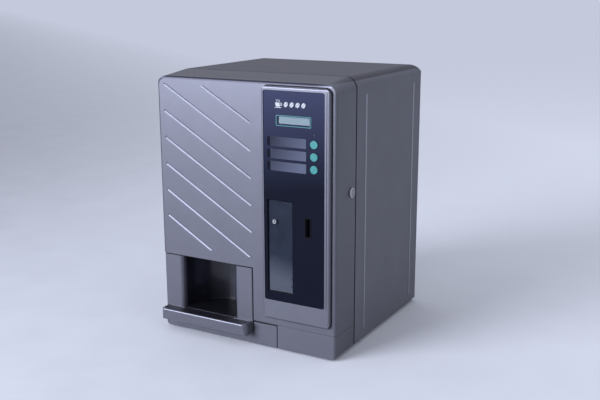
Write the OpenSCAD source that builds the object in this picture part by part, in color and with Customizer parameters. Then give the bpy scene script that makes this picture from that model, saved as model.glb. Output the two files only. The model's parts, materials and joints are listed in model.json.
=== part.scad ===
// Table-top coffee vending machine: cabinet, deep front door, cup-station drawer and brewing parts

/* [Body] */
// Width of the body
body_w = 386; // [382:1:390]
// Depth of the body, from the door's face to the rear
body_d = 380; // [376:1:392]
// Height over the feet and the top
body_h = 512; // [508:1:520]
// Gap under the body
foot_gap = 3; // [2.5:0.25:4]
// Radius of the upper side edges
edge_r = 22; // [16:1:26]
// Radius of the lower side edges
low_r = 11; // [6:1:12]
// Radius of the rear top edge
rear_r = 28; // [16:1:32]
// Thickness of the sheet metal
wall = 2; // [1.5:0.25:2.5]

/* [Front door] */
// Depth of the door, from its face to the seam
door_d = 75; // [70:1:80]
// Thickness of the door's skin
skin = 2.5; // [2:0.25:3]
// Height at which the door's face meets its sloping top
face_top = 504; // [500:1:506]
// Width of the dark seam behind the door
seam = 3.5; // [2.5:0.25:4]

/* [Cup station] */
// Height of the top of the cup-station drawer
station_top = 153; // [150:1:156]
// Place across the body where the drawer's tall part ends
station_x = 13; // [10:1:16]
// Height of the drawer's low part
low_top = 47; // [44:1:50]
// Place across the body where the drawer's low part ends
low_x = 66; // [60:1:70]
// Width of the cup opening
niche_w = 122; // [112:1:124]
// Place across the body of the cup opening's middle
niche_x = -88.5; // [-90:0.5:-87]
// How far the drip tray stands in front of the door
tray_out = 26; // [26:1:30]
// Radius of the tray's front corners
tray_r = 12.5; // [8:0.5:12.5]
// Spacing of the grille's slots
slot_pitch = 5; // [4.5:0.5:6]

/* [Controls] */
// Height of the raised control bezel
bezel_out = 7.3; // [6:0.1:8]
// Diameter of the selection buttons
button_d = 14.5; // [13:0.5:16]
// Spacing of the engraved lines, measured upright
line_pitch = 51.2; // [45:0.1:60]
// Angle of the engraved lines
line_angle = 30.3; // [25:0.1:35]

/* [Hidden] */
$fn = 48;
right_x = 190;
left_x = right_x - body_w;
port_out = 14;
front_y = -(body_d + port_out - tray_out) / 2;
rear_y = front_y + body_d;
door_rear = front_y + door_d - seam / 2;
cab_front = door_rear + seam;
body_z = foot_gap;
taper = 1;
face_r = 5;
tray_l = left_x + 6;
tray_z = 22.5;
tray_top = 46.8;
tray_rim = 3;
gap = 2.4;
col_in = 1.3;
col_r = 8;
niche_l = niche_x - niche_w / 2;
niche_r = niche_x + niche_w / 2;
station_r = station_x - gap / 2;
door_z = station_top + gap / 2;
door_floor = door_z + skin;
leg_x = station_x + gap / 2;
leg_z = low_top + gap;
low_gap = 1;
plinth_gap = 0.7;
leg_wall = leg_x + 13;
bead_h = 0.9;
// Door hinge: a pin line near the door's left rear edge
hinge_x = left_x + 5;
hinge_y = front_y + door_d - 8;
hinge_pin_r = 2.5;
hinge_zs = [182, 462];
line_x = -179.8;
// Control column
bez_x0 = 40;
bez_x1 = 180.3;
bez_z0 = 62.7;
bez_z1 = 498;
pan_x0 = 44.7;
pan_x1 = 169.5;
pan_z0 = 100.3;
pan_z1 = 490.7;
bez_y = front_y - bezel_out;
ovl_y = bez_y + 1.3;
ovl_t = 2;
board_y = front_y + 3.2;
button_x = 148.3;
button_z = [399.9, 377.9, 355.6];
label_z0 = [391.3, 368.9, 346.7];
label_h = 17;
label_x0 = 59.3;
label_x1 = 132.6;
lcd_x0 = 74.9;
lcd_x1 = 139.3;
lcd_z0 = 432.3;
lcd_z1 = 445.3;
// Coin slot and cash compartment
slot_x0 = 128.5;
slot_x1 = 142.2;
slot_z0 = 228.3;
slot_z1 = 267.8;
cash_x0 = 53.2;
cash_x1 = 102.3;
cash_z0 = 118.6;
cash_z1 = 290.5;
cash_hx = cash_x1 - 1.5;
cash_y = ovl_y + 2.5;
cash_hy = cash_y + 2.3;
knob_x = 66.7;
knob_z = 252;
cash_knuckles = [cash_z0 + 14, cash_z1 - 26];
// Lock in the door's right side
lock_y = front_y + 56.5;
lock_z = 307;
lock_reach = 28.5;
// Inside
bulk_y = front_y + 158;
bulk_t = 1.5;
shelf_z = 310;
can_xs = [-106, 0, 106];
can_w = 98;
can_y0 = front_y + 108;
can_y1 = front_y + 328;
can_top = 462;
auger_z = shelf_z + 24;
auger_r = 17;
bowl_y = front_y + 112;
nozzle_y = front_y + 45;
whip_z = 178;
outlet_z = whip_z - 6;
niche_bend = front_y + 30;
pan_z = 10.6;
pan_t = 1.5;
pan_rear = front_y + 280;
port_x = 120;
port_z = 60;
port_r = 13.2;
chute_end = whip_z + 53;
boiler_x = -122;
boiler_y = front_y + 232;
pan_l = left_x + 6;
screw_places = [for (x = [-160, 0, 160], z = [25, 460]) [x, z], for (x = [-160, 160]) [x, 240]];
steel = [0.56, 0.57, 0.63];
dark = [0.1, 0.1, 0.12];

// Flat shape with arc corners; each point is [x, y, radius] and every corner is convex
module arc_poly(p) {
    n = len(p);
    function xy(i) = [p[(i + n) % n][0], p[(i + n) % n][1]];
    function dir(i, j) = (xy(j) - xy(i)) / norm(xy(j) - xy(i));
    function turn(i) = acos(dir(i, i - 1) * dir(i, i + 1)) / 2;
    function cut(i) = p[i][2] / tan(turn(i));
    function mid(i) = dir(i, i - 1) + dir(i, i + 1);
    polygon([for (i = [0:n - 1], k = [-1, 1]) if (k < 0 || p[i][2] > 0) xy(i) + dir(i, i + k) * cut(i)]);
    for (i = [0:n - 1])
        if (p[i][2] > 0)
            translate(xy(i) + mid(i) / norm(mid(i)) * p[i][2] / sin(turn(i))) circle(p[i][2]);
}

// Rectangle from corner to corner with corner radius r
module rect(x0, y0, x1, y1, r = 0) {
    if (r > 0) arc_poly([[x0, y0, r], [x1, y0, r], [x1, y1, r], [x0, y1, r]]);
    else translate([x0, y0]) square([x1 - x0, y1 - y0]);
}

// Extrusions of a drawn outline along each axis, between two places
module along_x(x0, x1) {
    translate([x0, 0, 0]) rotate([90, 0, 90]) linear_extrude(x1 - x0) children();
}
module along_y(y0, y1) {
    translate([0, y1, 0]) rotate([90, 0, 0]) linear_extrude(y1 - y0) children();
}
module along_z(z0, z1) {
    translate([0, 0, z0]) linear_extrude(z1 - z0) children();
}

// Box from corner to corner
module block(a, b) {
    translate(a) cube(b - a);
}

// Round bars along each axis
module bar_x(x0, x1, y, z, r) {
    translate([x0, y, z]) rotate([0, 90, 0]) cylinder(h = x1 - x0, r = r);
}
module bar_y(x, y0, y1, z, r) {
    translate([x, y0, z]) rotate([-90, 0, 0]) cylinder(h = y1 - y0, r = r);
}
module bar_z(x, y, z0, z1, r) {
    translate([x, y, z0]) cylinder(h = z1 - z0, r = r);
}

// Outline of the body seen from the front, drawn in by i
module front_outline(i = 0) {
    arc_poly([[left_x + i, body_z + i, low_r - i], [right_x - i, body_z + i, low_r - i],
        [right_x - i, body_h - i, edge_r - i], [left_x + i, body_h - i, edge_r - i]]);
}

// The rear cabinet's full form, drawn in by i; the front is open when i is not 0
module cabinet_form(i = 0) {
    front = cab_front - (i > 0 ? 1 : 0);
    intersection() {
        along_y(front, rear_y - i) front_outline(i);
        along_x(left_x, right_x) arc_poly([[front, body_z, 0], [rear_y - i, body_z, 0],
            [rear_y - i, body_h - i, rear_r - i], [front, body_h - i, 0]]);
        along_z(0, body_h) arc_poly([[left_x + i, front, 0], [right_x - i, front, 0],
            [right_x - i, rear_y - i, 8 - i], [left_x + i, rear_y - i, 8 - i]]);
    }
}

// The front part's full form (door, drawer face and plinth), drawn in by i; open behind when i is not 0
module front_form(i = 0) {
    rear = door_rear + (i > 0 ? 1 : 0);
    slope = atan2(body_h - face_top, door_rear - front_y);
    intersection() {
        along_y(front_y + i, rear) front_outline(i);
        translate([0, front_y, face_top]) rotate([slope, 0, 0]) along_y(-60, 140)
            arc_poly([[left_x + i, -600, 0], [right_x - i, -600, 0], [right_x - i, -i, edge_r - i],
                [left_x + i, -i, edge_r - i]]);
        along_x(left_x, right_x) arc_poly([[front_y + i, body_z, 0], [rear, body_z, 0],
            [rear, body_h - i, 0], [front_y + i, face_top - i, 5]]);
        along_z(0, body_h) arc_poly([[left_x + i, rear, 0], [left_x + taper + i, front_y + i, face_r - i],
            [right_x - taper - i, front_y + i, face_r - i], [right_x - i, rear, 0]]);
    }
}

module cabinet_shell() color(steel) {
    cabinet_walls();
    for (s = [-1, 1], d = [116, 337]) translate([s > 0 ? right_x : left_x, front_y + d, 0])
        along_z(27, 478) polygon([[-s, -4], [s * bead_h, -1.5], [s * bead_h, 1.5], [-s, 4]]);
}

module cabinet_walls() difference() {
    cabinet_form();
    cabinet_form(wall);
    block([left_x + 14, cab_front - 1, 0], [right_x - 14, rear_y - 14, body_z + wall + 1]);
    along_y(rear_y - wall - 1, rear_y + 1) rect(left_x + 22, body_z + 14, right_x - 22, body_h - 46, 4);
}

module base_chassis() color([0.55, 0.56, 0.58]) {
    difference() {
        union() {
            block([left_x + 12, front_y + 12, body_z + wall],
                [right_x - 12, rear_y - 3, body_z + wall + 1.5]);
            for (x = [-160, 40])
                block([x, cab_front + 2, body_z + wall], [x + 6, rear_y - 60, pan_z - 0.3]);
        }
        for (x = [-150, 150], y = [front_y + 60, rear_y - 60]) bar_z(x, y, 0, 20, 4);
    }
}

module rubber_feet() color([0.08, 0.08, 0.08]) for (x = [-150, 150], y = [front_y + 60, rear_y - 60]) {
    bar_z(x, y, 0, body_z + wall, 16);
    bar_z(x, y, body_z + wall, body_z + wall + 1.5, 4);
}

module rear_panel() color([0.6, 0.61, 0.64]) difference() {
    along_y(rear_y - wall - 1.5, rear_y - wall)
        rect(left_x + 12, body_z + 8, right_x - 12, body_h - 36, 6);
    for (x = [-70, 70], k = [0:11]) along_y(rear_y - 10, rear_y)
        rect(x - 40, 330 + 10 * k, x + 40, 334 + 10 * k, 1.9);
    for (k = [0:7]) along_y(rear_y - 10, rear_y) rect(-40, 150 + 10 * k, 40, 154 + 10 * k, 1.9);
    bar_y(port_x, rear_y - 10, rear_y, port_z, port_r + 3.3);
    along_y(rear_y - 10, rear_y) rect(-145, 40, -95, 86, 1);
    for (p = screw_places) bar_y(p[0], rear_y - 10, rear_y, p[1], 2);
}

module rear_screws() color([0.75, 0.75, 0.77]) for (p = screw_places) translate([p[0], 0, p[1]])
    difference() {
        union() {
            bar_y(0, rear_y - wall - 8, rear_y - wall, 0, 2);
            bar_y(0, rear_y - wall, rear_y - wall + 1.8, 0, 3.8);
        }
        block([-0.5, rear_y - 1.2, -2.4], [0.5, rear_y + 1, 2.4]);
        block([-2.4, rear_y - 1.2, -0.5], [2.4, rear_y + 1, 0.5]);
    }

module front_plinth() color(steel) difference() {
    intersection() {
        front_form();
        block([low_x + low_gap, front_y - 1, 0], [right_x + 1, door_rear + 1, leg_z - plinth_gap]);
    }
    intersection() {
        front_form(skin);
        block([low_x + low_gap + skin, front_y - 1, 0],
            [right_x + 1, door_rear + 2, leg_z - plinth_gap - skin]);
    }
    block([low_x - 1, front_y + 11, 0], [right_x - 11.8, door_rear + 2, body_z + wall + 1.5]);
}

module bulkhead() color([0.7, 0.71, 0.73]) along_y(bulk_y, bulk_y + bulk_t) difference() {
    intersection() {
        front_outline(wall + 1);
        rect(left_x, body_z + wall + 1.5, right_x, body_h);
    }
    rect(left_x, 0, low_x + 1, 158);
    for (x = can_xs) rect(x - can_w / 2 - 1, shelf_z, x + can_w / 2 + 1, can_top + 35);
    translate([0, whip_z]) circle(5);
    for (p = [[-150, 210], [-150, 270], [60, 180], [150, 140], [150, 60]]) translate(p) circle(6);
}

module canister_shelf() color([0.68, 0.69, 0.71]) {
    block([left_x + 3, bulk_y + bulk_t, shelf_z - 2], [right_x - 3, rear_y - 6, shelf_z]);
    for (x = [left_x + 3, right_x - 5])
        block([x, bulk_y + bulk_t, shelf_z - 20], [x + 2, rear_y - 6, shelf_z - 2]);
}

// Two arms that reach into the door from the cabinet's left wall, each with a pin that stands up
module hinge_brackets() color([0.72, 0.73, 0.75]) for (z = hinge_zs) {
    block([left_x + wall + 0.1, cab_front + 6, z - 12], [left_x + wall + 3, cab_front + 46, z + 15]);
    along_z(z, z + 3) {
        translate([hinge_x, hinge_y]) circle(4);
        rect(hinge_x - 2.9, hinge_y, hinge_x + 4, cab_front + 2);
        rect(left_x + wall + 0.1, cab_front + 1, hinge_x + 4, cab_front + 46);
    }
    bar_z(hinge_x, hinge_y, z + 3, z + 18, hinge_pin_r);
}

module lock_striker() color([0.72, 0.73, 0.75]) {
    block([right_x - wall - 3, cab_front + 2, lock_z - 16], [right_x - wall, cab_front + 32, lock_z + 16]);
    bar_x(right_x - 27, right_x - wall - 3, lock_y + lock_reach, lock_z, 2.5);
}

module power_inlet() color(dark) difference() {
    union() {
        along_y(rear_y - wall, rear_y + 1.5) rect(-147, 38, -93, 88, 3);
        block([-144, rear_y - 30, 41], [-96, rear_y - wall, 85]);
    }
    along_y(rear_y - 16, rear_y + 2) arc_poly([[-134, 44, 2], [-106, 44, 2], [-106, 56, 2], [-110, 61, 2],
        [-130, 61, 2], [-134, 56, 2]]);
    block([-134, rear_y - 11, 66], [-106, rear_y + 2, 82]);
    bar_x(-135.5, -104.5, rear_y - 3, 74, 1.2);
}

module rocker_switch() color([0.15, 0.15, 0.16]) {
    along_x(-133.5, -106.5) intersection() {
        translate([rear_y - 3, 74]) circle(7.4);
        rect(rear_y - 8, 60, rear_y + 2.2, 90);
    }
    bar_x(-135.1, -104.9, rear_y - 3, 74, 1.15);
}

// Powder canister: a box whose lower half narrows to the auger's trough, with an outlet tube in front
module canister(x) color([0.86, 0.87, 0.88]) translate([x, 0, 0]) difference() {
    union() {
        along_y(can_y0, can_y1) canister_outline(0);
        bar_y(0, can_y0 - 16, can_y0, auger_z, auger_r + 3);
        along_z(shelf_z - 4, auger_z) rect(-12, can_y0 - 16, 12, can_y0, 2);
    }
    along_y(can_y0 + 2, can_y1 - 2) canister_outline(2);
    bar_y(0, can_y0 - 14, can_y0 + 5, auger_z, auger_r + 1);
    bar_y(0, can_y1 - 3, can_y1 + 1, auger_z, 4.1);
    along_z(shelf_z - 5, auger_z) rect(-10, can_y0 - 14, 10, can_y0 - 1, 1);
    block([-can_w / 2 + 2, can_y0 + 2, can_top - 4], [can_w / 2 - 2, can_y1 - 2, can_top + 1]);
}
module canister_outline(i) {
    r = auger_r + 3.4;
    rect(-can_w / 2 + i, auger_z + 40, can_w / 2 - i, can_top - i, 1.5);
    polygon([[-can_w / 2 + i, auger_z + 43], [can_w / 2 - i, auger_z + 43],
        [r - i, auger_z], [-r + i, auger_z]]);
    translate([0, auger_z]) circle(r - i);
    if (i == 0) for (s = [-1, 1]) rect(s * 38 - 3, shelf_z, s * 38 + 3, auger_z + 41);
}
module canister_left() canister(can_xs[0]);
module canister_middle() canister(can_xs[1]);
module canister_right() canister(can_xs[2]);

module canister_lid(x) color([0.25, 0.26, 0.3]) translate([x, 0, 0]) difference() {
    along_z(can_top + 0.3, can_top + 6) rect(-can_w / 2, can_y0, can_w / 2, can_y1, 4);
    along_z(can_top + 4, can_top + 7) rect(-can_w / 2 + 8, can_y0 + 8, can_w / 2 - 8, can_y1 - 60, 3);
    along_z(can_top + 3, can_top + 7) rect(-20, can_y1 - 40, 20, can_y1 - 22, 6);
}
module lid_left() canister_lid(can_xs[0]);
module lid_middle() canister_lid(can_xs[1]);
module lid_right() canister_lid(can_xs[2]);

// Auger: a shaft with one twisted blade, which turns in the canister's trough
module auger(x) color([0.2, 0.3, 0.6]) translate([x, 0, 0]) {
    bar_y(0, can_y0 - 12, can_y1 + 12, auger_z, 4);
    translate([0, can_y0 - 10, auger_z]) rotate([-90, 0, 0])
        linear_extrude(can_y1 - can_y0, twist = -360 * 7, slices = 84, $fn = 16)
            translate([0, -1.25]) square([auger_r - 0.5, 2.5]);
}
module auger_left() auger(can_xs[0]);
module auger_middle() auger(can_xs[1]);
module auger_right() auger(can_xs[2]);

module auger_motors() color([0.75, 0.76, 0.7]) for (x = can_xs) translate([x, 0, 0]) difference() {
    union() {
        along_y(can_y1 + 6, can_y1 + 22) rect(-26, auger_z - 20, 26, auger_z + 34, 4);
        bar_y(0, can_y1 + 22, rear_y - 6, auger_z + 12, 16);
        block([-30, can_y1 + 6, shelf_z], [30, can_y1 + 8, auger_z + 20]);
    }
    bar_y(0, can_y1 + 1, can_y1 + 14, auger_z, 4.1);
}

// A duct from each canister's outlet to the mixing bowl
module powder_chutes() color([0.93, 0.93, 0.94]) for (i = [0:2]) {
    x = can_xs[i];
    s = sign(x);
    run = -s * 82;
    y0 = can_y0 - 17;
    difference() {
        union() {
            along_z(shelf_z - 14, shelf_z - 5) rect(x - 13, y0, x + 13, can_y0 + 1, 2);
            along_y(y0, can_y0 + 1) polygon([[x - 13, shelf_z - 13], [x + 13, shelf_z - 13],
                [x + run + 9, chute_end], [x + run - 9, chute_end]]);
        }
        along_z(shelf_z - 15, shelf_z) rect(x - 11, y0 + 2, x + 11, can_y0 - 1, 1);
        along_y(y0 + 2, can_y0 - 1) polygon([[x - 11, shelf_z - 12], [x + 11, shelf_z - 12],
            [x + run + 7, chute_end - 1], [x + run - 7, chute_end - 1]]);
    }
}

module mixing_bowl() color([0.9, 0.9, 0.92]) difference() {
    union() {
        translate([0, bowl_y, whip_z + 17]) cylinder(h = 34, r1 = 18, r2 = 35);
        bar_z(0, bowl_y, whip_z, whip_z + 18, 18);
        bar_y(0, bowl_y - 22, bowl_y + 26, whip_z, 20);
        bar_x(-34, -12, bowl_y - 14, outlet_z, 5.5);
        along_y(bowl_y + 24, bulk_y) rect(-30, whip_z - 20, 30, whip_z + 20, 4);
    }
    translate([0, bowl_y, whip_z + 17]) cylinder(h = 34.01, r1 = 16, r2 = 33);
    bar_z(0, bowl_y, whip_z, whip_z + 18, 14);
    bar_y(0, bowl_y - 20, bowl_y + 22, whip_z, 18);
    bar_y(0, bowl_y + 20, bulk_y + 1, whip_z, 4);
    bar_x(-35, -12, bowl_y - 14, outlet_z, 3.5);
}

module whipper() color([0.85, 0.86, 0.88]) {
    bar_y(0, bowl_y - 12, bulk_y + 20, whip_z, 2.5);
    difference() {
        bar_y(0, bowl_y - 14, bowl_y + 6, whip_z, 14);
        for (a = [0:60:300]) translate([0, bowl_y - 15, whip_z]) rotate([0, a, 0])
            block([5, 0, -2.5], [15, 16, 2.5]);
    }
}

module whipper_motor() color([0.35, 0.35, 0.37]) difference() {
    union() {
        bar_y(0, bulk_y + bulk_t, bulk_y + 52, whip_z, 19);
        along_y(bulk_y + bulk_t, bulk_y + 4) rect(-27, whip_z - 22, 27, whip_z + 22, 4);
    }
    bar_y(0, bulk_y + 1, bulk_y + 24, whip_z, 2.6);
}

module boiler() color([0.78, 0.78, 0.8]) {
    bar_z(boiler_x, boiler_y, 168, 262, 46);
    bar_z(boiler_x, boiler_y, 262, 267, 52);
    for (a = [0:60:300]) translate([boiler_x, boiler_y, 0]) rotate(a) bar_z(48, 0, 267, 271, 3);
    for (p = [[-16, 12], [18, 6], [0, -20]]) bar_z(boiler_x + p[0], boiler_y + p[1], 267, 282, 5);
    bar_x(boiler_x + 40, boiler_x + 60, boiler_y, 190, 4);
    for (z = [182, 246])
        block([boiler_x - 18, bulk_y + bulk_t, z], [boiler_x + 18, boiler_y - 40, z + 4]);
}

module air_break_tank() color([0.85, 0.88, 0.9]) difference() {
    union() {
        along_z(172, 276) rect(52, front_y + 176, 122, front_y + 268, 6);
        bar_z(87, front_y + 220, 276, 284, 7);
        bar_z(70, front_y + 220, 160, 172, 5);
        block([64, bulk_y + bulk_t, 240], [110, front_y + 178, 244]);
    }
    along_z(174, 274) rect(54, front_y + 178, 120, front_y + 266, 4);
    bar_z(87, front_y + 220, 273, 285, 5);
    bar_z(70, front_y + 220, 159, 175, 3.5);
}

module inlet_valve() color([0.85, 0.85, 0.82]) difference() {
    union() {
        bar_y(port_x, rear_y - 30, rear_y + port_out, port_z, port_r);
        bar_y(port_x, rear_y - wall, rear_y + 1.5, port_z, port_r + 5);
        block([port_x - 18, rear_y - 62, port_z - 18], [port_x + 18, rear_y - 30, port_z + 18]);
        bar_z(port_x, rear_y - 46, port_z + 18, port_z + 52, 14);
        bar_y(port_x, rear_y - 74, rear_y - 62, port_z, 6);
    }
    bar_y(port_x, rear_y - 55, rear_y + port_out + 1, port_z, 9);
    bar_y(port_x, rear_y - 75, rear_y - 54, port_z, 4);
}

module water_pump() color([0.5, 0.42, 0.3]) {
    along_y(front_y + 196, front_y + 246) rect(138, 178, 178, 218, 5);
    bar_y(158, bulk_y + bulk_t, front_y + 196, 198, 12);
    bar_y(158, front_y + 246, front_y + 276, 198, 13);
    bar_y(158, front_y + 276, front_y + 288, 198, 5);
    block([140, front_y + 200, 160], [176, front_y + 242, 178]);
}

module power_supply() color([0.72, 0.73, 0.74]) difference() {
    block([84, front_y + 176, body_z + wall + 1.5], [180, front_y + 296, 52]);
    for (k = [0:8]) block([92 + 9 * k, front_y + 186, 50], [96 + 9 * k, front_y + 286, 53]);
}

module main_board() color([0.1, 0.35, 0.2]) {
    block([76, bulk_y - 8, 66], [182, bulk_y - 6.4, 156]);
    for (x = [82, 176], z = [72, 150]) bar_y(x, bulk_y - 6.4, bulk_y, z, 3);
    block([84, bulk_y - 20, 76], [112, bulk_y - 8, 98]);
    block([120, bulk_y - 18, 120], [172, bulk_y - 8, 134]);
    for (k = [0:4]) block([120 + 11 * k, bulk_y - 22, 80], [128 + 11 * k, bulk_y - 8, 96]);
}

// Hose from the mixing bowl, ending over the gutter in the door
module drink_hose() color([0.92, 0.9, 0.86]) {
    y = front_y + 84;
    hose_run([-35.2, bowl_y - 14, outlet_z], [niche_x, y, outlet_z], 5.5);
    bar_z(niche_x, y, outlet_z - 7, outlet_z + 7, 7);
    bar_y(niche_x, front_y + 62, y, outlet_z, 5.5);
}
module hose_run(a, b, r) {
    v = b - a;
    translate(a) rotate([0, acos(v[2] / norm(v)), atan2(v[1], v[0])]) cylinder(h = norm(v), r = r);
}

// Gutter and nozzle in the door, over the cup
module spout_nozzle() color(dark) difference() {
    union() {
        bar_z(niche_x, nozzle_y, 146, 158, 9);
        translate([niche_x, nozzle_y, 139]) cylinder(h = 7, r1 = 5.5, r2 = 9);
        block([niche_x - 12, front_y + 32, door_floor], [niche_x + 12, front_y + 69, door_floor + 24]);
    }
    block([niche_x - 10, front_y + 34, door_floor + 2], [niche_x + 10, front_y + 70, door_floor + 25]);
    bar_z(niche_x, nozzle_y, 138, 162, 3.5);
}

// The door's outline seen from the front: full width above, and a leg on the right
module door_outline(i = 0, left = leg_x) {
    rect(left_x - 1, door_z + i, right_x + 1, body_h + 1);
    rect(left + i, leg_z + i, right_x + 1, door_z + 20);
}

// Slanted grooves with a V section on the door's face
module door_lines() intersection() {
    block([line_x, front_y - 3, 173.8], [12.2, front_y + 3, 489.9]);
    for (k = [-1:5]) translate([line_x, front_y, 489.4 - line_pitch * k]) rotate([0, line_angle, 0])
        along_x(-30, 400) polygon([[-1, -3.9], [1.4, 0], [-1, 3.9]]);
}

module door_shell() color(steel) difference() {
    union() {
        difference() {
            intersection() {
                front_form();
                along_y(front_y - 1, door_rear + 1) door_outline();
            }
            intersection() {
                front_form(skin);
                along_y(front_y + skin, door_rear + 2) door_outline(skin, leg_wall);
            }
        }
        for (z = hinge_zs) bar_z(hinge_x, hinge_y, z + 3.6, z + 22, 4.2);
    }
    block([0, front_y + skin, 0], [leg_wall, door_rear + 2, door_z]);
    door_lines();
    along_y(front_y - 1, front_y + skin + 1) rect(48, 104, 166.5, 487, 2);
    for (z = hinge_zs) {
        block([left_x - 1, hinge_y - 6.4, z - 0.6], [left_x + skin + 1, door_rear + 1, z + 3.6]);
        bar_z(hinge_x, hinge_y, z + 3, z + 18.6, hinge_pin_r + 0.05);
    }
    bar_x(right_x - 10, right_x + 1, lock_y, lock_z, 8);
    bar_z(niche_x, nozzle_y, door_z - 1, door_floor + 1, 9);
}

module door_inner_panel() color([0.75, 0.76, 0.78]) difference() {
    intersection() {
        front_form(skin);
        along_y(front_y + 70.5, front_y + 72) door_outline(skin, leg_wall);
    }
    for (z = hinge_zs) block([left_x, front_y + 70, z - 3], [hinge_x + 6, door_rear, z + 24]);
    block([right_x - 32, front_y + 70, lock_z - 18], [right_x - 12, door_rear, lock_z + 42]);
    block([niche_x - 16, front_y + 70, 0], [niche_x + 16, door_rear, door_floor + 26]);
    for (x = [-150, -20], z = [200, 460]) bar_y(x, front_y + 70, door_rear, z, 2.2);
}

module control_bezel() color([0.6, 0.61, 0.67]) difference() {
    intersection() {
        along_y(bez_y, front_y) rect(bez_x0, bez_z0, bez_x1, bez_z1, 12);
        along_z(0, body_h) arc_poly([[bez_x0, front_y, 0], [bez_x0 + 0.8, bez_y, 3.4],
            [bez_x1 - 0.8, bez_y, 3.4], [bez_x1, front_y, 0]]);
        along_x(0, right_x) arc_poly([[front_y, bez_z0, 0], [front_y, bez_z1, 0],
            [bez_y, bez_z1 - 0.8, 3.4], [bez_y, bez_z0 + 0.8, 3.4]]);
    }
    along_y(bez_y - 1, ovl_y + ovl_t) rect(pan_x0, pan_z0, pan_x1, pan_z1, 4);
    along_y(bez_y - 1, front_y + 1) rect(pan_x0 + 3.3, pan_z0 + 3.7, pan_x1 - 3, pan_z1 - 3.7, 2);
    along_y(front_y - 4, front_y + 1) rect(bez_x0 + 4, bez_z0 + 4, bez_x1 - 4, pan_z0 - 3, 8);
    along_y(bez_y - 1, bez_y + 1) rect(pan_x1 + 3.6, pan_z0, pan_x1 + 4.8, pan_z1, 0.5);
}

module control_overlay() color([0.1, 0.11, 0.2]) along_y(ovl_y, ovl_y + ovl_t) difference() {
    rect(pan_x0, pan_z0, pan_x1, pan_z1, 4);
    rect(lcd_x0, lcd_z0, lcd_x1, lcd_z1, 1);
    for (z = label_z0) rect(label_x0, z, label_x1, z + label_h, 1.4);
    for (z = button_z) translate([button_x, z]) circle(button_d / 2 + 0.4);
    rect(cash_x0 - 1.8, cash_z0 - 1.8, cash_x1 + 1.8, cash_z1 + 1.8, 2);
    rect(slot_x0, slot_z0, slot_x1, slot_z1, 1.5);
    translate([148.7, 416]) circle(1.5);
}

module lcd_module() color([0.7, 0.82, 0.8]) {
    block([lcd_x0 - 4, ovl_y + ovl_t, lcd_z0 - 5], [lcd_x1 + 4, front_y - 1, lcd_z1 + 4]);
    for (x = [lcd_x0 - 1, lcd_x1 + 1]) bar_y(x, front_y - 1, board_y, lcd_z1, 2);
    bar_y(148.7, ovl_y - 0.4, board_y, 416, 1.5);
}

module label_windows() color([0.3, 0.32, 0.4]) for (z = label_z0)
    along_y(ovl_y - 0.7, ovl_y + ovl_t) rect(label_x0, z, label_x1, z + label_h, 1.4);

module button_board() color([0.12, 0.4, 0.25]) {
    block([54, board_y, 340], [164, board_y + 1.6, 462]);
    for (z = button_z) block([button_x - 3, front_y + 1.9, z - 3], [button_x + 3, board_y, z + 3]);
    for (x = [57, 161], z = [343, 459]) bar_y(x, board_y + 1.6, front_y + 12, z, 2.5);
    block([70, board_y + 1.6, 350], [130, board_y + 7, 356]);
}

// Selection button: a cap, a flange behind the panel and a stem to its switch
module button(z) color([0.2, 0.68, 0.62]) {
    bar_y(button_x, ovl_y - 1.8, ovl_y + ovl_t + 0.3, z, button_d / 2);
    bar_y(button_x, ovl_y + ovl_t + 0.3, ovl_y + ovl_t + 1.4, z, button_d / 2 + 1.4);
    bar_y(button_x, ovl_y + ovl_t + 1.4, front_y + 0.5, z, 2.2);
}
module button_top() button(button_z[0]);
module button_middle() button(button_z[1]);
module button_bottom() button(button_z[2]);

module coin_slot_insert() color(dark) difference() {
    union() {
        along_y(ovl_y - 0.6, ovl_y + ovl_t) rect(slot_x0, slot_z0, slot_x1, slot_z1, 1.5);
        along_y(ovl_y + ovl_t, front_y + 14) rect(slot_x0 + 2.6, slot_z0 + 1, slot_x1 - 2.6, slot_z1 - 1);
    }
    along_y(ovl_y - 1, front_y + 15) rect(slot_x0 + 5, slot_z0 + 3, slot_x1 - 5, slot_z1 - 3);
    along_z(slot_z0 + 3, slot_z1 - 3) polygon([[slot_x0 + 2, ovl_y - 0.7], [slot_x1 - 2, ovl_y - 0.7],
        [slot_x1 - 5, ovl_y + 4], [slot_x0 + 5, ovl_y + 4]]);
}

module coin_validator() color([0.22, 0.22, 0.24]) difference() {
    union() {
        block([110, front_y + 14, 180], [164, front_y + 64, 275]);
        along_y(front_y + 24, front_y + 48)
            polygon([[111, 206], [111, 184], [88, 174], [84, 174], [84, 187]]);
    }
    block([slot_x0 + 5, front_y + 13, slot_z0 + 3], [slot_x1 - 5, front_y + 46, slot_z1 - 3]);
    block([116, front_y + 27, 192], [slot_x1 - 5, front_y + 45, slot_z0 + 4]);
    along_y(front_y + 26, front_y + 46) polygon([[118, 204], [118, 190], [96, 180], [88, 172], [86, 172],
        [86, 184.5], [108, 202]]);
}

module cash_box() color([0.75, 0.76, 0.78]) difference() {
    block([54, front_y + 9, leg_z + skin], [101, front_y + 68, 172]);
    block([55.5, front_y + 10.5, leg_z + skin + 1.5], [99.5, front_y + 66.5, 173]);
    block([68, front_y + 8, 150], [88, front_y + 11, 162]);
}

module cash_frame() color(dark) {
    along_y(ovl_y + ovl_t, front_y + 0.2) difference() {
        rect(cash_x0 - 4.9, cash_z0 - 5, cash_x1 + 5, cash_z1 + 5, 3);
        rect(cash_x0 - 1.6, cash_z0 - 1.6, cash_x1 + 1.6, cash_z1 + 1.6, 2);
    }
    for (z = cash_knuckles) {
        for (e = [z - 2.3, z + 12.3]) along_z(e, e + 2) {
            translate([cash_hx, cash_hy]) circle(2);
            rect(cash_hx, cash_hy - 1, cash_x1 + 2, cash_hy + 1.2);
        }
        bar_z(cash_hx, cash_hy, z - 1, z + 13, 1);
    }
}

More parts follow.
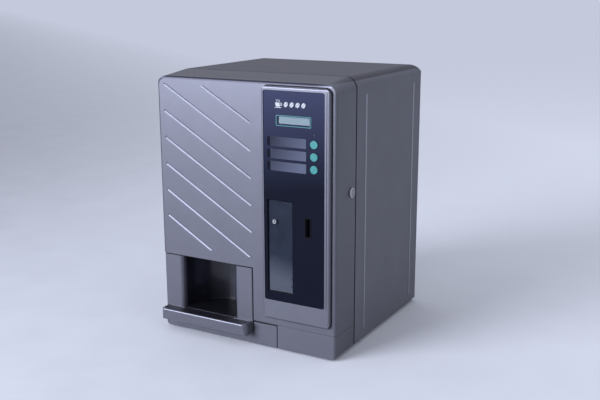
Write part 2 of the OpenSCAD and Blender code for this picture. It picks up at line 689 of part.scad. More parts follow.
module cash_door() color([0.55, 0.56, 0.6]) difference() {
    union() {
        along_y(cash_y, cash_y + 2) rect(cash_x0, cash_z0, cash_x1, cash_z1, 1.5);
        for (z = cash_knuckles) bar_z(cash_hx, cash_hy, z, z + 12, 2);
    }
    for (z = cash_knuckles) {
        bar_z(cash_hx, cash_hy, z - 1, z + 13, 1.06);
        for (e = [z - 2.6, z + 12]) {
            bar_z(cash_hx, cash_hy, e, e + 2.6, 2.25);
            block([cash_hx - 1.4, cash_y - 1, e], [cash_x1 + 1, cash_y + 5, e + 2.6]);
        }
    }
    bar_y(knob_x, cash_y - 1, cash_y + 3, knob_z, 2.06);
}

module cash_knob() color([0.85, 0.86, 0.88]) difference() {
    union() {
        bar_y(knob_x, cash_y - 4.2, cash_y - 0.3, knob_z, 4);
        bar_y(knob_x, cash_y - 0.3, cash_y + 5.6, knob_z, 2);
        along_y(cash_y + 4.2, cash_y + 5.6) rect(knob_x - 3, knob_z - 17, knob_x + 3, knob_z + 4, 1);
    }
    block([knob_x - 0.6, cash_y - 5, knob_z - 3], [knob_x + 0.6, cash_y - 2.6, knob_z + 3]);
}

module lock_housing() color([0.85, 0.86, 0.88]) difference() {
    union() {
        bar_x(right_x - 20, right_x, lock_y, lock_z, 8);
        bar_x(right_x - 0.1, right_x + 2.4, lock_y, lock_z, 9.3);
        translate([right_x - 8.6, lock_y, lock_z]) rotate([0, 90, 0]) cylinder(h = 4.5, r = 12.5, $fn = 6);
    }
    bar_x(right_x - 21, right_x + 3, lock_y, lock_z, 6.06);
    bar_x(right_x + 0.8, right_x + 3, lock_y, lock_z, 7.3);
}

// Lock plug with a hooked cam; the cam points up when the door is free
module lock_plug() color([0.8, 0.81, 0.83]) {
    difference() {
        bar_x(right_x - 22, right_x + 1.9, lock_y, lock_z, 6);
        block([right_x - 6, lock_y - 1.2, lock_z - 4.2], [right_x + 3, lock_y + 1.2, lock_z + 4.2]);
    }
    translate([right_x - 25, lock_y, lock_z]) rotate([90, 0, 90]) linear_extrude(3) rotate(90) {
        circle(9);
        intersection() {
            circle(37);
            wedge(10, 34);
        }
        difference() {
            intersection() {
                circle(37);
                wedge(-13, 34);
            }
            circle(32.4);
        }
    }
}
module wedge(a, b) {
    polygon([[0, 0], 60 * [cos(a), sin(a)], 60 * [cos(b), sin(b)]]);
}

module drawer_front() color(steel) difference() {
    union() {
        intersection() {
            front_form();
            along_y(front_y - 1, door_rear + 1) drawer_outline();
        }
        for (x = [pan_l, low_x - 5.5]) block([x, cab_front + 2, pan_z], [x + 1.5, pan_rear, pan_z + 13]);
        block([pan_l, front_y + skin, pan_z], [low_x - 4, pan_rear, pan_z + pan_t]);
        block([pan_l, pan_rear - 1.5, pan_z], [low_x - 4, pan_rear, pan_z + 13]);
    }
    intersection() {
        front_form(skin);
        block([left_x, front_y, pan_z + pan_t],
            [low_x - low_gap - skin, door_rear + 2, low_top - 3]);
    }
    block([left_x + 11, front_y + 11, 0], [low_x + 1, door_rear + 2, pan_z]);
}
module drawer_outline() {
    rect(left_x - 1, 0, low_x - low_gap, 21.3);
    rect(station_x + 2, 0, low_x - low_gap, low_top - 1);
}

// The two uprights beside the cup opening
module station_columns() color(steel) difference() {
    intersection() {
        front_form();
        along_z(22, station_top - gap / 2) {
            arc_poly([[left_x + col_in, door_rear, 0], [left_x + col_in + taper, front_y, face_r],
                [niche_l, front_y, col_r], [niche_l, door_rear, 0]]);
            arc_poly([[niche_r, door_rear, 0], [niche_r, front_y, col_r], [station_r, front_y, 2],
                [station_r, door_rear, 0]]);
        }
    }
    along_z(21, station_top - gap / 2 - skin) {
        arc_poly([[left_x + col_in + skin, door_rear + 1, 0],
            [left_x + col_in + taper + skin, front_y + skin, face_r - skin],
            [niche_l - skin, front_y + skin, col_r - skin], [niche_l - skin, door_rear + 1, 0]]);
        arc_poly([[niche_r + skin, door_rear + 1, 0], [niche_r + skin, front_y + skin, col_r - skin],
            [station_r - skin, front_y + skin, 0], [station_r - skin, door_rear + 1, 0]]);
    }
    block([niche_l - 8, front_y + 12, 0], [niche_r + 8, door_rear + 2, 200]);
}

// Cup recess: straight sides and a half-round back, standing on the drawer's pan
module niche_liner() color([0.06, 0.06, 0.08]) difference() {
    union() {
        along_z(pan_z + pan_t, station_top - gap / 2) difference() {
            niche_plan(niche_w / 2 + 3, front_y + 12.2);
            niche_plan(niche_w / 2 + 1, front_y + 11);
        }
        for (s = [-1, 1]) block([niche_x + s * (niche_w / 2 - 1) - 2.2, front_y + 14, pan_z + pan_t],
            [niche_x + s * (niche_w / 2 - 1) + 2.2, front_y + 34, 22.2]);
    }
    block([niche_x - 14, front_y + 40, 134], [niche_x + 14, front_y + 100, station_top]);
}
module niche_plan(r, y0) {
    rect(niche_x - r, y0, niche_x + r, niche_bend + 0.5);
    intersection() {
        translate([niche_x, niche_bend]) circle(r);
        rect(niche_x - r, niche_bend, niche_x + r, niche_bend + r);
    }
}

module waste_bin() color([0.15, 0.15, 0.17]) difference() {
    along_z(pan_z + pan_t + 0.4, 120) rect(-180, front_y + 97, 8, pan_rear - 4, 10);
    along_z(pan_z + pan_t + 2.4, 121) rect(-178, front_y + 99, 6, pan_rear - 6, 8);
}

// Drip tray: a wide silver shelf in front and a half-round basin under the cup
module drip_tray() color([0.62, 0.63, 0.69]) difference() {
    union() {
        intersection() {
            along_z(tray_z, tray_top) arc_poly([[tray_l, front_y - 0.5, 1],
                [tray_l, front_y - tray_out, tray_r], [station_r, front_y - tray_out, tray_r],
                [station_r, front_y - 0.5, 1]]);
            along_x(tray_l, station_x) arc_poly([[front_y, tray_z, 0], [front_y - tray_out + 3, tray_z, 4],
                [front_y - tray_out, tray_top, 3.2], [front_y, tray_top, 0]]);
            along_y(front_y - tray_out, front_y) arc_poly([[tray_l, tray_top, 6], [tray_l + 1, tray_z, 9],
                [station_r, tray_z, 5], [station_r, tray_top, 6]]);
        }
        along_z(tray_z, tray_top) niche_plan(niche_w / 2 - 1.5, front_y - 3);
    }
    along_z(tray_z + 2.2, tray_top + 1) tray_plan(3);
    along_z(tray_top - 3.8, tray_top + 1) tray_plan(1.9);
}
module tray_plan(i) {
    e = i + tray_rim;
    arc_poly([[tray_l + e, front_y - 0.5 - i, 1], [tray_l + e, front_y - tray_out + i, tray_r - i],
        [station_r - e, front_y - tray_out + i, tray_r - i], [station_r - e, front_y - 0.5 - i, 1]]);
    niche_plan(niche_w / 2 - 1.5 - i, front_y - 5);
}

// Slotted grille that drops into the tray
module drip_grille() color([0.08, 0.08, 0.11]) difference() {
    along_z(tray_top - 3.5, tray_top - 0.9) tray_plan(2.3);
    for (k = [-11:10]) {
        x = niche_x + slot_pitch * (k + 0.5);
        far = niche_bend + sqrt(pow(niche_w / 2 - 7, 2) - pow(x - niche_x, 2));
        along_z(42, 47) rect(x - 1.3, front_y + 6, x + 1.3, far, 1.2);
    }
}

cabinet_shell();
base_chassis();
rubber_feet();
rear_panel();
rear_screws();
front_plinth();
bulkhead();
canister_shelf();
hinge_brackets();
lock_striker();
power_inlet();
rocker_switch();
canister_left();
canister_middle();
canister_right();
lid_left();
lid_middle();
lid_right();
auger_left();
auger_middle();
auger_right();
auger_motors();
powder_chutes();
mixing_bowl();
whipper();
whipper_motor();
boiler();
air_break_tank();
inlet_valve();
water_pump();
power_supply();
main_board();
drink_hose();
spout_nozzle();
door_shell();
door_inner_panel();
control_bezel();
control_overlay();
lcd_module();
label_windows();
button_board();
button_top();
button_middle();
button_bottom();
coin_slot_insert();
coin_validator();
cash_box();
cash_frame();
cash_door();
cash_knob();
lock_housing();
lock_plug();
drawer_front();
station_columns();
niche_liner();
waste_bin();
drip_tray();
drip_grille();
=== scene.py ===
"""Looks of a table-top hot coffee vending machine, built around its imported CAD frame."""

import json
import math

import bmesh
import bpy
from mathutils import Matrix, Vector


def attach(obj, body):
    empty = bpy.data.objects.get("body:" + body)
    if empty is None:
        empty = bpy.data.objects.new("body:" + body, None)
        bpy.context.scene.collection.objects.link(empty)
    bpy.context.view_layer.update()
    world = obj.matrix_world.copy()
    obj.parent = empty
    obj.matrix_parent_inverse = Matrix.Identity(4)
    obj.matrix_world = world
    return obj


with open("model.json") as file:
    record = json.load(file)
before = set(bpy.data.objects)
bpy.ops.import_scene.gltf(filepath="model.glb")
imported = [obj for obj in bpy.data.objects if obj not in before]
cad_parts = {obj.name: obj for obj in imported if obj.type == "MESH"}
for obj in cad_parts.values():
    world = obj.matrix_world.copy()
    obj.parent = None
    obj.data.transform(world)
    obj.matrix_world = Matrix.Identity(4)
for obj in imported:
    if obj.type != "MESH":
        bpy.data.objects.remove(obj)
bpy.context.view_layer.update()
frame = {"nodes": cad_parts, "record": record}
NODES = frame["nodes"]
SCENE = bpy.context.scene

MM = 0.001
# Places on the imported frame, in mm
LEFT, RIGHT = -196.0, 190.0  # the body's sides
DOOR_FACE = -184.0
FACE_TOP = 504.0  # where the door's face meets its sloping top
PANEL_FACE = -190.0  # front of the printed control panel
NICHE_X = -88.5  # middle of the cup opening
LABEL_BOTTOMS = (391.3, 368.9, 346.7)
LINE_ANGLE = math.radians(30.3)  # the slanting lines on the door
FLANK = math.atan2(2.4, 3.9)  # how far a line's two flanks lean out of the door's face


# ---------------------------------------------------------------- materials


def add(tree, kind, **values):
    """A node with its settings; a name with a socket in it sets that socket's default."""
    node = tree.nodes.new("ShaderNode" + kind)
    for key, value in values.items():
        if key.startswith("in_"):
            node.inputs[key[3:].replace("_", " ")].default_value = value
        else:
            setattr(node, key, value)
    return node


def stretched(tree, stretch=None):
    """Object coordinates in metres, stretched along the axes where that is asked."""
    coord = add(tree, "TexCoord")
    if stretch is None:
        return coord.outputs["Object"]
    mapping = add(tree, "Mapping")
    mapping.inputs["Scale"].default_value = stretch
    tree.links.new(coord.outputs["Object"], mapping.inputs["Vector"])
    return mapping.outputs["Vector"]


def noise(tree, vector, size, detail=3.0, rough=0.55):
    node = add(tree, "TexNoise", in_Scale=1.0 / size, in_Detail=detail, in_Roughness=rough)
    tree.links.new(vector, node.inputs["Vector"])
    return node.outputs["Fac"]


def ranged(tree, value, low, high, start=0.3, end=0.7):
    node = add(tree, "MapRange")
    tree.links.new(value, node.inputs["Value"])
    for socket, number in zip(("From Min", "From Max", "To Min", "To Max"), (start, end, low, high)):
        node.inputs[socket].default_value = number
    return node.outputs["Result"]


def mixed(tree, factor, first, second):
    node = add(tree, "Mix", data_type="RGBA")
    for socket, value in (("Factor", factor), ("A", first), ("B", second)):
        target = [s for s in node.inputs if s.name == socket and s.enabled][0]
        if isinstance(value, bpy.types.NodeSocket):
            tree.links.new(value, target)
        else:
            target.default_value = value
    return [s for s in node.outputs if s.enabled][0]


def shade(colour, factor):
    return tuple(min(1.0, c * factor) for c in colour[:3]) + (1.0,)


def painted_rim_shade(tree):
    """Painted shade: 1 on the rounded border along the top and left of the front, which lies in shade, 0
    on its flat face and the sides.
    """
    split = add(tree, "SeparateXYZ")
    tree.links.new(add(tree, "TexCoord").outputs["Object"], split.inputs[0])

    def calc(operation, a, b):
        node = add(tree, "Math", operation=operation)
        for socket, value in zip(node.inputs, (a, b)):
            if isinstance(value, (int, float)):
                socket.default_value = value
            else:
                tree.links.new(value, socket)
        return node.outputs[0]

    radius = 0.0195
    width = 0.0040
    soft = 0.0012
    beside = calc("MAXIMUM", calc("SUBTRACT", LEFT * MM + radius, split.outputs["X"]), 0.0)
    above = calc("MAXIMUM", calc("SUBTRACT", split.outputs["Z"], FACE_TOP * MM - radius), 0.0)
    squares = calc("ADD", calc("MULTIPLY", beside, beside), calc("MULTIPLY", above, above))
    reach = calc("SQRT", squares, 0.0)
    border = ranged(tree, reach, 0.0, 1.0, radius - width - soft, radius - width)
    front = ranged(tree, split.outputs["Y"], 1.0, 0.0, -0.1800, -0.1770)
    left_part = ranged(tree, split.outputs["X"], 1.0, 0.0, 0.150, 0.178)
    return calc("MULTIPLY", calc("MULTIPLY", border, front), left_part)


def surface(
    name,
    colour,
    rough,
    metallic=0.0,
    mottle=0.06,
    mottle_size=0.035,
    grain=0.0,
    grain_size=0.0009,
    spread=0.05,
    edge=0.0005,
    wear=0.0,
    specular=0.5,
    coat=0.0,
    transmission=0.0,
    second=None,
    second_size=0.02,
    painted_shading=None,
    rim=None,
):
    """A procedural finish: clouded colour, fine grain, uneven roughness and eased, slightly worn edges;
    the fade and rim colours paint light and shade into it.
    """
    mat = bpy.data.materials.new(name)
    mat.use_nodes = True
    tree = mat.node_tree
    bsdf = tree.nodes["Principled BSDF"]
    link = tree.links.new
    vector = stretched(tree)
    clouds = noise(tree, vector, mottle_size)
    tint = mixed(
        tree, ranged(tree, clouds, 0.0, 1.0), shade(colour, 1 - mottle), shade(colour, 1 + mottle)
    )
    if second is not None:
        patches = noise(tree, vector, second_size, 5.0, 0.65)
        tint = mixed(tree, ranged(tree, patches, 0.0, 1.0, 0.45, 0.6), tint, shade(second, 1))
    if painted_shading is not None:
        # painted light and shade: a second colour that comes in along a direction, between two places in
        # metres
        direction, start, end, other = painted_shading
        along = add(tree, "VectorMath", operation="DOT_PRODUCT")
        link(add(tree, "TexCoord").outputs["Object"], along.inputs[0])
        along.inputs[1].default_value = direction
        arrived = ranged(tree, along.outputs["Value"], 0.0, 1.0, start, end)
        tint = mixed(tree, arrived, tint, shade(other, 1))
    # painted shade: the rim colour darkens the rounded border along the top and left of the front
    if rim is not None:
        tint = mixed(tree, painted_rim_shade(tree), tint, shade(rim, 1))
    rounded = add(tree, "Bevel", samples=4, in_Radius=edge)
    if wear:
        geometry = add(tree, "NewGeometry")
        dot = add(tree, "VectorMath", operation="DOT_PRODUCT")
        link(rounded.outputs["Normal"], dot.inputs[0])
        link(geometry.outputs["Normal"], dot.inputs[1])
        rubbed = ranged(tree, dot.outputs["Value"], wear, 0.0, 0.80, 0.985)
        tint = mixed(tree, rubbed, tint, shade(colour, 1.7))
    link(tint, bsdf.inputs["Base Color"])
    fine = noise(tree, vector, grain_size, 2.0)
    link(ranged(tree, fine, rough - spread, rough + spread), bsdf.inputs["Roughness"])
    bump = add(tree, "Bump", in_Strength=grain, in_Distance=0.0003)
    link(fine, bump.inputs["Height"])
    link(rounded.outputs["Normal"], bump.inputs["Normal"])
    link(bump.outputs["Normal"], bsdf.inputs["Normal"])
    for socket, value in (
        ("Metallic", metallic),
        ("Specular IOR Level", specular),
        ("Coat Weight", coat),
        ("Coat Roughness", 0.05),
        ("Transmission Weight", transmission),
        ("IOR", 1.45),
    ):
        bsdf.inputs[socket].default_value = value
    return mat


TOP_SHADE = ((0, 0, 1), 0.5035, 0.5055, (0.036, 0.034, 0.042))  # painted shade: a darker colour on the top faces, where less light falls
# painted shadow: near-black for the faces inside the seams between cabinet and door and for the ring round
# the bezel's foot
SEAM_SHADOW = surface("seam_shadow", (0.008, 0.008, 0.012), 0.7, mottle=0.1, specular=0.1)
FINISH = {
    "silver_paint": surface(
        "silver_paint", (0.096, 0.097, 0.115), 0.40, metallic=0.5, mottle=0.03, grain=0.10,
        # painted shade: the fade darkens the top faces and the rim colour darkens the rounded border along
        # the top and left of the front
        wear=0.35, specular=0.45, painted_shading=TOP_SHADE, rim=(0.020, 0.020, 0.030),
    ),
    # painted shade: the top faces are darker
    "side_paint": surface(
        "side_paint", (0.108, 0.109, 0.128), 0.52, metallic=0.2, mottle=0.04, grain=0.14, wear=0.3,
        specular=0.35, painted_shading=TOP_SHADE,
    ),
    "silver_plastic": surface(
        "silver_plastic", (0.105, 0.106, 0.125), 0.38, metallic=0.5, mottle=0.03, grain=0.05,
        wear=0.3,
    ),
    "zinc_sheet": surface(
        "zinc_sheet", (0.46, 0.47, 0.49), 0.38, metallic=0.9, mottle=0.10, mottle_size=0.012,
        grain=0.06, second=(0.56, 0.57, 0.60), second_size=0.009,
    ),
    "steel_bright": surface(
        "steel_bright", (0.42, 0.43, 0.44), 0.20, metallic=1.0, mottle=0.03, grain=0.02,
    ),
    # painted reflection: the panel turns lighter towards its top
    "navy_gloss": surface(
        "navy_gloss", (0.0022, 0.003, 0.008), 0.22, mottle=0.10, grain=0.01, spread=0.03,
        specular=0.11, painted_shading=((-0.12, 0, 1), 0.30, 0.50, (0.026, 0.030, 0.060)),
    ),
    "black_gloss": surface(
        "black_gloss", (0.007, 0.007, 0.011), 0.30, mottle=0.10, grain=0.03, spread=0.04, coat=0.3,
    ),
    "black_plastic": surface(
        "black_plastic", (0.007, 0.007, 0.010), 0.46, mottle=0.08, grain=0.12, specular=0.25,
    ),
    "teal_key": surface(
        "teal_key", (0.008, 0.125, 0.115), 0.38, mottle=0.08, mottle_size=0.004, grain=0.35,
        grain_size=0.0012,
    ),
    # painted highlight: the windows turn lighter towards their lower right
    "smoky_window": surface(
        "smoky_window", (0.016, 0.018, 0.030), 0.16, mottle=0.16, mottle_size=0.02, grain=0.01,
        spread=0.02, specular=0.3, painted_shading=((1, 0, -0.4), -0.10, -0.02, (0.060, 0.068, 0.098)),
    ),
    "lcd_glass": surface(
        "lcd_glass", (0.17, 0.23, 0.26), 0.12, mottle=0.04, grain=0.01, spread=0.02, coat=0.5,
    ),
    # painted light: the plate turns lighter towards its bottom
    "cash_plate": surface(
        "cash_plate", (0.009, 0.013, 0.022), 0.28, metallic=0.25, mottle=0.25, mottle_size=0.03,
        grain=0.03, specular=0.22, painted_shading=((0.22, 0, 1), 0.205, 0.160, (0.052, 0.058, 0.074)),
        wear=0.3,
    ),
    "white_plastic": surface("white_plastic", (0.70, 0.71, 0.70), 0.34, mottle=0.03, grain=0.04),
    "clear_hose": surface(
        "clear_hose", (0.62, 0.58, 0.48), 0.28, mottle=0.08, mottle_size=0.01, grain=0.04,
        transmission=0.35,
    ),
    "board_green": surface(
        "board_green", (0.018, 0.11, 0.045), 0.36, mottle=0.20, mottle_size=0.004, grain=0.10,
        coat=0.2,
    ),
    "motor_can": surface("motor_can", (0.30, 0.31, 0.32), 0.36, metallic=0.85, mottle=0.06, grain=0.05),
    "rubber": surface("rubber", (0.018, 0.018, 0.018), 0.72, mottle=0.15, grain=0.25),
    "auger_blue": surface("auger_blue", (0.03, 0.09, 0.34), 0.36, mottle=0.06, grain=0.05),
    "pump_brass": surface(
        "pump_brass", (0.46, 0.33, 0.13), 0.30, metallic=0.9, mottle=0.10, grain=0.06,
    ),
}
key_tree = FINISH["teal_key"].node_tree
dots = add(key_tree, "TexVoronoi", feature="F1", in_Scale=620.0, in_Randomness=0.25)
key_tree.links.new(stretched(key_tree, (1, 0.05, 1)), dots.inputs["Vector"])
key_base = key_tree.nodes["Principled BSDF"].inputs["Base Color"]
between = ranged(key_tree, dots.outputs["Distance"], 0.0, 1.0, 0.30, 0.52)
dotted = mixed(key_tree, between, (0.020, 0.23, 0.215, 1), (0.004, 0.060, 0.055, 1))
key_tree.links.new(dotted, key_base)
LENS = surface("indicator_lens", (0.022, 0.016, 0.022), 0.3)
CHIP = surface("chip_black", (0.02, 0.02, 0.022), 0.5, grain=0.1)
COIL = surface("coil_black", (0.03, 0.03, 0.035), 0.42, grain=0.12)
LCD_FACE = surface("display_face", (0.135, 0.180, 0.195), 0.20, mottle=0.05, specular=0.4, spread=0.02)
PRINT_WHITE = surface("print_white", (0.30, 0.31, 0.32), 0.40, mottle=0.02, grain=0.03, edge=0.0001)
PRINT_TEAL = surface("print_teal", (0.025, 0.17, 0.16), 0.36, mottle=0.05, grain=0.03, edge=0.0001)
PRINT_DARK = surface(
    "print_dark", (0.002, 0.002, 0.006), 0.30, specular=0.08, mottle=0.06, grain=0.03, edge=0.0001,
)
# painted highlight: the raised beads on the cabinet's sides are coloured light, as if catching the light
BEAD_HIGHLIGHT = surface("bead_highlight", (0.24, 0.24, 0.275), 0.40, metallic=0.3, mottle=0.03, grain=0.05)
GROOVE_LIT = surface("groove_lit", (0.27, 0.275, 0.32), 0.34, metallic=0.3, mottle=0.03, grain=0.05)
GROOVE_SHADE = surface("groove_shade", (0.028, 0.028, 0.040), 0.50, mottle=0.05)
SLOT_BLACK = surface("slot_black", (0.003, 0.003, 0.005), 0.6, specular=0.06)
# painted reflection: the glossy black lining turns blue-grey towards the right of the opening
NICHE = surface(
    "niche_lining_sheen", (0.007, 0.007, 0.011), 0.30, mottle=0.10, grain=0.03, spread=0.04, coat=0.3,
    painted_shading=((1, 0, 0), -0.100, -0.045, (0.060, 0.064, 0.105)),
)
# painted shade: a dark colour for the bezel's rounded left and bottom edges, which face away from the
# light
BEZEL_EDGE_SHADE = surface("bezel_edge_shade", (0.026, 0.026, 0.038), 0.45, mottle=0.04)
OWN_FINISH = {"coin_slot_insert": SLOT_BLACK, "niche_liner": NICHE}
CONTACT = surface(
    "contact_metal", (0.66, 0.62, 0.50), 0.24, metallic=1.0, mottle=0.06, grain=0.04, edge=0.0003,
)

SLOT_OF = {s["node"]: s["material_slot"] for s in frame["record"]["subparts"]}
for node_name, obj in NODES.items():
    obj.data.materials.clear()
    obj.data.materials.append(OWN_FINISH.get(node_name, FINISH[SLOT_OF[node_name]]))


def two_tone(node_name, other, inside):
    """Gives the faces whose centre (in mm) and normal pass the test a second finish."""
    mesh = NODES[node_name].data
    mesh.materials.append(other)
    for face in mesh.polygons:
        if inside(face.center / MM, face.normal):
            face.material_index = len(mesh.materials) - 1


two_tone("lcd_module", LENS, lambda c, n: c.z < 420)
two_tone("lcd_module", LCD_FACE, lambda c, n: c.z > 427 and c.y < -187.9)
two_tone("main_board", CHIP, lambda c, n: c.y < -34.5)
two_tone("water_pump", COIL, lambda c, n: c.y > 62 and c.y < 92)
# painted shadow: the cabinet's front edge and the door's rear edge, inside the seam, are near-black
two_tone("cabinet_shell", SEAM_SHADOW, lambda c, n: c.y < -106.9)
two_tone("door_shell", SEAM_SHADOW, lambda c, n: c.y > -111.2)
two_tone("drip_tray", FINISH["black_gloss"], lambda c, n: c.y > DOOR_FACE + 1)
# painted highlight on the raised beads along both sides of the cabinet
two_tone(
    "cabinet_shell",
    BEAD_HIGHLIGHT,
    lambda c, n: (c.x > RIGHT + 0.3 or c.x < LEFT - 0.3) and abs(n.z) < 0.5,
)
# painted shade on the bezel's rounded left and bottom edges
two_tone(
    "control_bezel",
    BEZEL_EDGE_SHADE,
    lambda c, n: (n.x < -0.3 and c.x < 44) or (n.z < -0.3 and c.z < 66.5),
)


def groove_side(c, n):
    """How far a flank of a slanting line on the door's face leans upwards; 0 for any other face."""
    lean = math.sin(LINE_ANGLE) * n.x + math.cos(LINE_ANGLE) * n.z
    in_line = DOOR_FACE < c.y < DOOR_FACE + 2.5
    outward = abs(n.y + math.cos(FLANK)) < 0.03
    sideways = abs(abs(lean) - math.sin(FLANK)) < 0.03
    return lean if in_line and outward and sideways else 0.0


two_tone("door_shell", GROOVE_LIT, lambda c, n: groove_side(c, n) > 0.3)
two_tone("door_shell", GROOVE_SHADE, lambda c, n: groove_side(c, n) < -0.3)


# ---------------------------------------------------------------- mesh helpers


def piece(name, bm, material, body):
    """Turns a bmesh into a smooth-shaded piece that rides on a CAD body."""
    mesh = bpy.data.meshes.new(name)
    bmesh.ops.recalc_face_normals(bm, faces=bm.faces)
    bm.to_mesh(mesh)
    bm.free()
    mesh.materials.append(material)
    obj = bpy.data.objects.new(name, mesh)
    SCENE.collection.objects.link(obj)
    for face in mesh.polygons:
        face.use_smooth = True
    mesh.set_sharp_from_angle(angle=math.radians(25))
    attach(obj, body)
    return obj


def rounded(x0, z0, x1, z1, r, steps=6):
    """Corner points of a rounded rectangle in mm, in order."""
    points = []
    for cx, cz, start in (
        (x1 - r, z0 + r, -90),
        (x1 - r, z1 - r, 0),
        (x0 + r, z1 - r, 90),
        (x0 + r, z0 + r, 180),
    ):
        for k in range(steps + 1):
            a = math.radians(start + 90 * k / steps)
            points.append((cx + r * math.cos(a), cz + r * math.sin(a)))
    return points


def flat_shape(outline, holes=(), y=PANEL_FACE, lift=0.12, bm=None):
    """A thin shape, in mm: its face stands lift in front of y and its rim reaches just behind y."""
    bm = bm or bmesh.new()
    edges = []
    loops = []
    for ring in (outline, *holes):
        verts = [bm.verts.new((x * MM, (y - lift) * MM, z * MM)) for x, z in ring]
        loops.append(verts)
        edges += [bm.edges.new((verts[i - 1], verts[i])) for i in range(len(verts))]
    bmesh.ops.triangle_fill(bm, use_beauty=True, use_dissolve=False, edges=edges)
    for verts in loops:
        back = [bm.verts.new((v.co.x, (y + 0.02) * MM, v.co.z)) for v in verts]
        for i in range(len(verts)):
            bm.faces.new((verts[i - 1], verts[i], back[i], back[i - 1]))
    return bm


# ---------------------------------------------------------------- printed marks on the panel


def ring(cx, cz, r):
    """Points round a circle in mm."""
    angles = [math.tau * k / 20 for k in range(20)]
    return [(cx + r * math.cos(a), cz + r * math.sin(a)) for a in angles]


def cup_mark(cx, cz, s):
    """A plain cup on a saucer with steam: the sign of a hot drink."""
    side = [(5.0, 3.2), (4.7, 0.2), (3.6, -2.2), (2.4, -3.2)]
    bowl = [(-x, z) for x, z in side] + side[::-1]
    bm = flat_shape([(cx + s * x, cz + s * z) for x, z in bowl])
    handle_out = ring(cx + s * 5.2, cz + s * 0.9, s * 2.5)
    handle_in = ring(cx + s * 5.2, cz + s * 0.9, s * 1.5)
    flat_shape(handle_out, [handle_in], bm=bm)
    flat_shape(rounded(cx - s * 6.2, cz - s * 5.0, cx + s * 6.2, cz - s * 4.0, s * 0.45, 3), bm=bm)
    for dx in (-2.6, 0.0, 2.6):
        wave = [(dx + 0.7 * math.sin(t * 5.2), 4.3 + 3.6 * t) for t in (k / 10 for k in range(11))]
        left = [(cx + s * (x - 0.38), cz + s * z) for x, z in wave]
        right = [(cx + s * (x + 0.38), cz + s * z) for x, z in reversed(wave)]
        flat_shape(left + right, bm=bm)
    return bm


def bean_mark(cx, cz, s):
    """A leaning coffee bean in two halves, parted by a curved line."""
    bm = bmesh.new()
    lean = Matrix.Rotation(math.radians(-32), 2)
    angles = [math.radians(-86 + 172 * k / 16) for k in range(17)]
    heights = [4.0 - 8.0 * k / 10 for k in range(11)]
    for side in (-1, 1):
        rim = [(side * 3.1 * math.cos(a), 4.3 * math.sin(a)) for a in angles]
        middle = [(side * 0.35 + 0.7 * math.sin(z * 0.9), z) for z in heights]
        turned = [s * (lean @ Vector(point)) for point in rim + middle]
        flat_shape([(cx + p.x, cz + p.y) for p in turned], bm=bm)
    return bm


piece("mark_cup", cup_mark(75.5, 465.6, 1.12), PRINT_WHITE, "front_door")
for k in range(4):
    piece(f"mark_bean_{k + 1}", bean_mark(91.5 + 11.8 * k, 466.6, 1.15), PRINT_WHITE, "front_door")
# painted shadow: a thin near-black ring on the door's face round the foot of the bezel
shadow_ring_outside = rounded(38.7, 61.4, 181.6, 499.3, 13.2, 12)
shadow_ring_inside = rounded(40.1, 62.8, 180.2, 497.9, 11.9, 12)
piece(
    "bezel_shadow_ring",
    flat_shape(shadow_ring_outside, [shadow_ring_inside], y=DOOR_FACE, lift=0.5),
    SEAM_SHADOW,
    "front_door",
)
piece(
    "display_outline",
    flat_shape(rounded(71.2, 428.2, 142.0, 447.2, 1.4), [rounded(72.1, 429.1, 141.1, 446.3, 1.0)]),
    PRINT_TEAL,
    "front_door",
)
for k, z in enumerate(LABEL_BOTTOMS):
    block = flat_shape(rounded(52.4, z + 0.6, 58.2, z + 16.4, 0.8, 3))
    piece(f"index_block_{k + 1}", block, PRINT_DARK, "front_door")


# ---------------------------------------------------------------- mains inlet contacts


def box_into(bm, lo, hi, bevel=0.3):
    """Adds a box between two corners in mm, with its edges eased."""
    made = bmesh.ops.create_cube(bm, size=1.0)["verts"]
    lo, hi = Vector(lo) * MM, Vector(hi) * MM
    for v in made:
        v.co = Vector(a + (c + 0.5) * (b - a) for a, b, c in zip(lo, hi, v.co))
    edges = {e for v in made for e in v.link_edges}
    bmesh.ops.bevel(bm, geom=list(edges), offset=bevel * MM, segments=2, affect="EDGES", profile=0.5)


for label, x, z in (("left", -126.5, 53.5), ("right", -113.5, 53.5), ("earth", -120, 48.5)):
    bm = bmesh.new()
    box_into(bm, (x - 1.0, 180.5, z - 2.0), (x + 1.0, 193.5, z + 2.0))
    piece("inlet_blade_" + label, bm, CONTACT, "cabinet")


# ---------------------------------------------------------------- small ribs along the grille's front

bm = bmesh.new()
for k in range(-11, 11):
    x = NICHE_X + 5 * k
    box_into(bm, (x - 1.0, DOOR_FACE + 1.0, 45.85), (x + 1.0, DOOR_FACE + 3.4, 46.7), 0.35)
piece("grille_ribs", bm, FINISH["silver_plastic"], "grille")


# ---------------------------------------------------------------- stage, light and camera


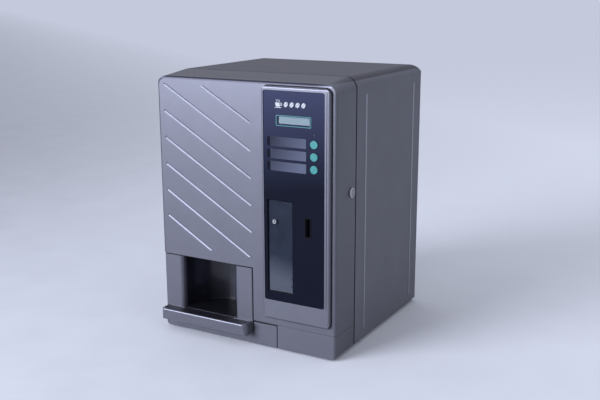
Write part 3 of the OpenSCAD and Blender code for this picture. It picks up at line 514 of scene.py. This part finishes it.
def make_stage():
    """A plain pale floor with painted light, a little lighter towards the back."""
    bm = bmesh.new()
    bmesh.ops.create_circle(bm, cap_ends=True, radius=60, segments=96)
    mesh = bpy.data.meshes.new("floor")
    bm.to_mesh(mesh)
    bm.free()
    floor = bpy.data.objects.new("floor", mesh)
    SCENE.collection.objects.link(floor)
    mesh.materials.append(
        surface(
            "floor_paper",
            (0.46, 0.465, 0.48),
            0.85,
            mottle=0.03,
            mottle_size=0.12,
            specular=0.1,
            painted_shading=((0.60, 0.80, 0), -0.5, 1.9, (0.73, 0.74, 0.75)),
        )
    )


def area(name, place, target, size, watts, colour, spread=180):
    """A softbox at a place, turned to a target; the camera doesn't see it."""
    data = bpy.data.lights.new(name, "AREA")
    data.shape = "RECTANGLE"
    data.size, data.size_y = size
    data.energy = watts
    data.color = colour
    data.spread = math.radians(spread)
    lamp = bpy.data.objects.new(name, data)
    SCENE.collection.objects.link(lamp)
    lamp.location = place
    lamp.rotation_mode = "QUATERNION"
    lamp.rotation_quaternion = (Vector(target) - Vector(place)).to_track_quat("-Z", "Y")
    lamp.visible_camera = False


make_stage()
COOL = (0.80, 0.84, 1.0)
area("key_softbox", (-1.5, -2.7, 1.15), (0.05, -0.2, 0.46), (2.0, 1.3), 46, COOL, spread=75)
area("fill_softbox", (2.4, -0.8, 1.6), (0.1, 0, 0.25), (1.6, 1.6), 6, (0.93, 0.96, 1.0))

world = bpy.data.worlds.new("studio")
world.use_nodes = True
SCENE.world = world
sky = world.node_tree
direction = sky.nodes.new("ShaderNodeTexCoord")
height = sky.nodes.new("ShaderNodeSeparateXYZ")
sky.links.new(direction.outputs["Generated"], height.inputs["Vector"])
brightness = ranged(sky, height.outputs["Z"], 0.50, 0.98, 0.0, 0.5)
sky.links.new(brightness, sky.nodes["Background"].inputs["Strength"])
sky.nodes["Background"].inputs["Color"].default_value = (*COOL, 1)

SCENE.view_settings.view_transform = "Standard"

camera = bpy.data.cameras.new("camera")
camera.sensor_width, camera.lens = 36.0, 53.467
camera.clip_start, camera.clip_end = 0.05, 200.0
camera_object = bpy.data.objects.new("camera", camera)
SCENE.collection.objects.link(camera_object)
camera_object.location = (0.87856, -1.52856, 0.67032)
camera_object.rotation_euler = [math.radians(angle) for angle in (76.4094, 0.1615, 29.5141)]
SCENE.camera = camera_object

bpy.context.view_layer.update()
